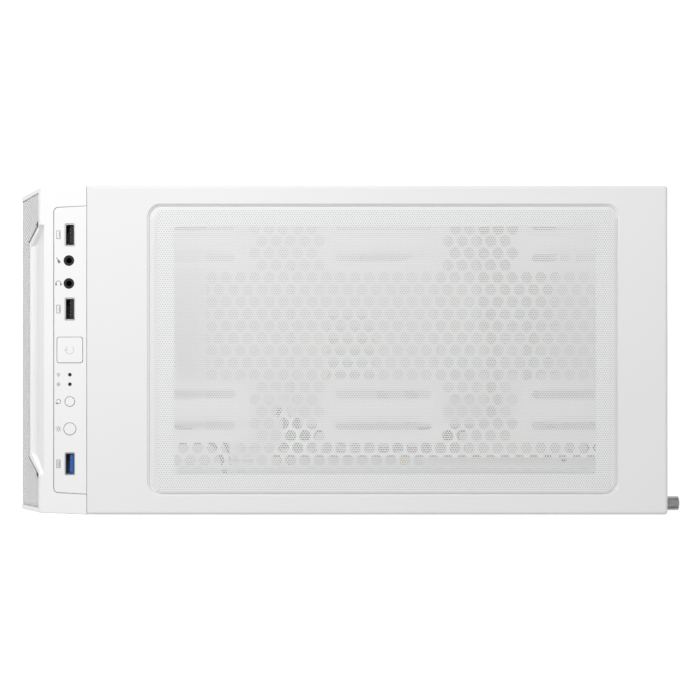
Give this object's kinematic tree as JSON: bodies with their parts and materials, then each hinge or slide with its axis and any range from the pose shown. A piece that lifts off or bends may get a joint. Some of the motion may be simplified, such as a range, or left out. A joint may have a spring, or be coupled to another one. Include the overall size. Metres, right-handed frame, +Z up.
{
  "type": "desktop computer tower",
  "caption": "Steel computer tower with a meshed front, vented top under a magnetic dust filter, glass door, sliding side panel and a complete computer inside.",
  "frame": {"origin": "on the floor, under the middle of the bounding box", "axes": "+Z up, -Y the front with the mesh and finger grip, -X the glass door's side"},
  "size_m": [0.206, 0.4184, 0.4453],
  "materials": {
    "white_steel": "fine textured powder coat",
    "white_plastic": "fine satin grain",
    "strip_plastic": "fine satin grain",
    "white_mesh": "powder coat",
    "filter_mesh": "powder coat",
    "magnet": "flexible magnetic strip",
    "rubber": "matt",
    "glass": "smoked, tempered",
    "white_fan": "satin",
    "bright_steel": "bright rolled",
    "screw_steel": "turned",
    "black_plastic": "satin",
    "blue_plastic": "satin",
    "lens": "smoked clear",
    "board": "solder mask",
    "aluminium": "satin",
    "brass": "turned"
  },
  "bodies": {
    "case": {"chassis_top_panel": "white_steel", "chassis_bottom": "white_steel", "case_feet": "rubber", "chassis_front_wall": "white_steel", "chassis_rear_wall": "white_steel", "side_rails": "white_steel", "motherboard_tray": "white_steel", "board_standoffs": "brass", "psu_shroud": "white_steel", "drive_cage": "white_steel", "slot_covers": "white_steel", "io_shield": "bright_steel", "door_fittings": "white_steel", "supply_frame": "white_steel", "port_strip": "strip_plastic", "port_board": "board", "usb_shells": "bright_steel", "usb2_tongues": "black_plastic", "usb3_tongue": "blue_plastic", "audio_jacks": "black_plastic", "indicator_lenses": "lens", "front_fan_frames": "white_fan", "rear_fan_frame": "white_fan", "psu_housing": "white_steel", "psu_sockets": "black_plastic", "psu_inlet": "black_plastic", "motherboard": "board", "board_sockets": "black_plastic", "memory_modules": "aluminium", "board_heatsinks": "aluminium", "rear_ports": "bright_steel", "cooler_fins": "aluminium", "cooler_fan_frame": "white_fan", "card_board": "aluminium", "card_metalwork": "white_steel", "card_shroud": "white_plastic", "hard_drive": "aluminium"},
    "power_button": {"power_button": "white_plastic"},
    "reset_button": {"reset_button": "white_plastic"},
    "light_button": {"light_button": "white_plastic"},
    "top_filter": {"top_filter_mesh": "filter_mesh", "top_filter_magnets": "magnet"},
    "bottom_filter": {"bottom_filter": "white_plastic"},
    "front_panel": {"front_panel_shell": "white_plastic", "front_panel_clips": "white_plastic", "front_mesh": "white_mesh"},
    "side_panel": {"right_side_panel": "white_steel"},
    "upper_screw": {"panel_screw_upper": "screw_steel"},
    "lower_screw": {"panel_screw_lower": "screw_steel"},
    "glass_door": {"door_glass": "glass", "door_frame": "white_steel"},
    "front_fan_low": {"front_fan_rotor_low": "white_fan"},
    "front_fan_middle": {"front_fan_rotor_middle": "white_fan"},
    "front_fan_high": {"front_fan_rotor_high": "white_fan"},
    "rear_fan": {"rear_fan_rotor": "white_fan"},
    "psu_switch": {"psu_rocker": "black_plastic"},
    "psu_fan": {"psu_fan_rotor": "black_plastic"},
    "cooler_fan": {"cooler_fan_rotor": "white_fan"},
    "card_fan_front": {"card_fan_rotor_front": "white_fan"},
    "card_fan_rear": {"card_fan_rotor_rear": "white_fan"}
  },
  "joints": [
    {"name": "power_press", "type": "slide", "parent": "case", "child": "power_button", "axis": [0, 0, -1], "range_m": [0, 0.0015], "stiffness_N_per_m": 900, "springref_m": -0.0012},
    {"name": "reset_press", "type": "slide", "parent": "case", "child": "reset_button", "axis": [0, 0, -1], "range_m": [0, 0.0012], "stiffness_N_per_m": 700, "springref_m": -0.0012},
    {"name": "light_press", "type": "slide", "parent": "case", "child": "light_button", "axis": [0, 0, -1], "range_m": [0, 0.0012], "stiffness_N_per_m": 700, "springref_m": -0.0012},
    {"name": "top_filter_lift", "type": "slide", "parent": "case", "child": "top_filter", "axis": [0, 0, 1], "range_m": [0, 0.06]},
    {"name": "bottom_filter_slide", "type": "slide", "parent": "case", "child": "bottom_filter", "axis": [0, 1, 0], "range_m": [0, 0.15]},
    {"name": "front_panel_pull", "type": "slide", "parent": "case", "child": "front_panel", "axis": [0, -1, 0], "range_m": [0, 0.05]},
    {"name": "side_panel_slide", "type": "slide", "parent": "case", "child": "side_panel", "axis": [0, 1, 0], "range_m": [0, 0.022]},
    {"name": "upper_screw_turn", "type": "hinge", "parent": "side_panel", "child": "upper_screw", "pos_m": [0.0975, 0.2, 0.417], "axis": [0, 1, 0], "continuous": true},
    {"name": "lower_screw_turn", "type": "hinge", "parent": "side_panel", "child": "lower_screw", "pos_m": [0.0975, 0.2, 0.046], "axis": [0, 1, 0], "continuous": true},
    {"name": "door_swing", "type": "hinge", "parent": "case", "child": "glass_door", "pos_m": [-0.1005, 0.1956, 0.22], "axis": [0, 0, -1], "range_deg": [0, 110]},
    {"name": "front_fan_low_spin", "type": "hinge", "parent": "case", "child": "front_fan_low", "pos_m": [-0.0125, -0.15, 0.104], "axis": [0, 1, 0], "continuous": true},
    {"name": "front_fan_middle_spin", "type": "hinge", "parent": "case", "child": "front_fan_middle", "pos_m": [-0.0125, -0.15, 0.2246], "axis": [0, 1, 0], "continuous": true},
    {"name": "front_fan_high_spin", "type": "hinge", "parent": "case", "child": "front_fan_high", "pos_m": [-0.0125, -0.15, 0.3452], "axis": [0, 1, 0], "continuous": true},
    {"name": "rear_fan_spin", "type": "hinge", "parent": "case", "child": "rear_fan", "pos_m": [-0.036, 0.185, 0.372], "axis": [0, 1, 0], "continuous": true},
    {"name": "cooler_fan_spin", "type": "hinge", "parent": "case", "child": "cooler_fan", "pos_m": [-0.028, 0.07, 0.348], "axis": [0, 1, 0], "continuous": true},
    {"name": "psu_fan_spin", "type": "hinge", "parent": "case", "child": "psu_fan", "pos_m": [-0.013, 0.1265, 0.026], "axis": [0, 0, 1], "continuous": true},
    {"name": "card_fan_front_spin", "type": "hinge", "parent": "case", "child": "card_fan_front", "pos_m": [-0.002, 0.0187, 0.21], "axis": [0, 0, 1], "continuous": true},
    {"name": "card_fan_rear_spin", "type": "hinge", "parent": "case", "child": "card_fan_rear", "pos_m": [-0.002, 0.1247, 0.21], "axis": [0, 0, 1], "continuous": true},
    {"name": "psu_switch_rock", "type": "hinge", "parent": "case", "child": "psu_switch", "pos_m": [0, 0.1952, 0.062], "axis": [1, 0, 0], "range_deg": [-14, 0]}
  ]
}
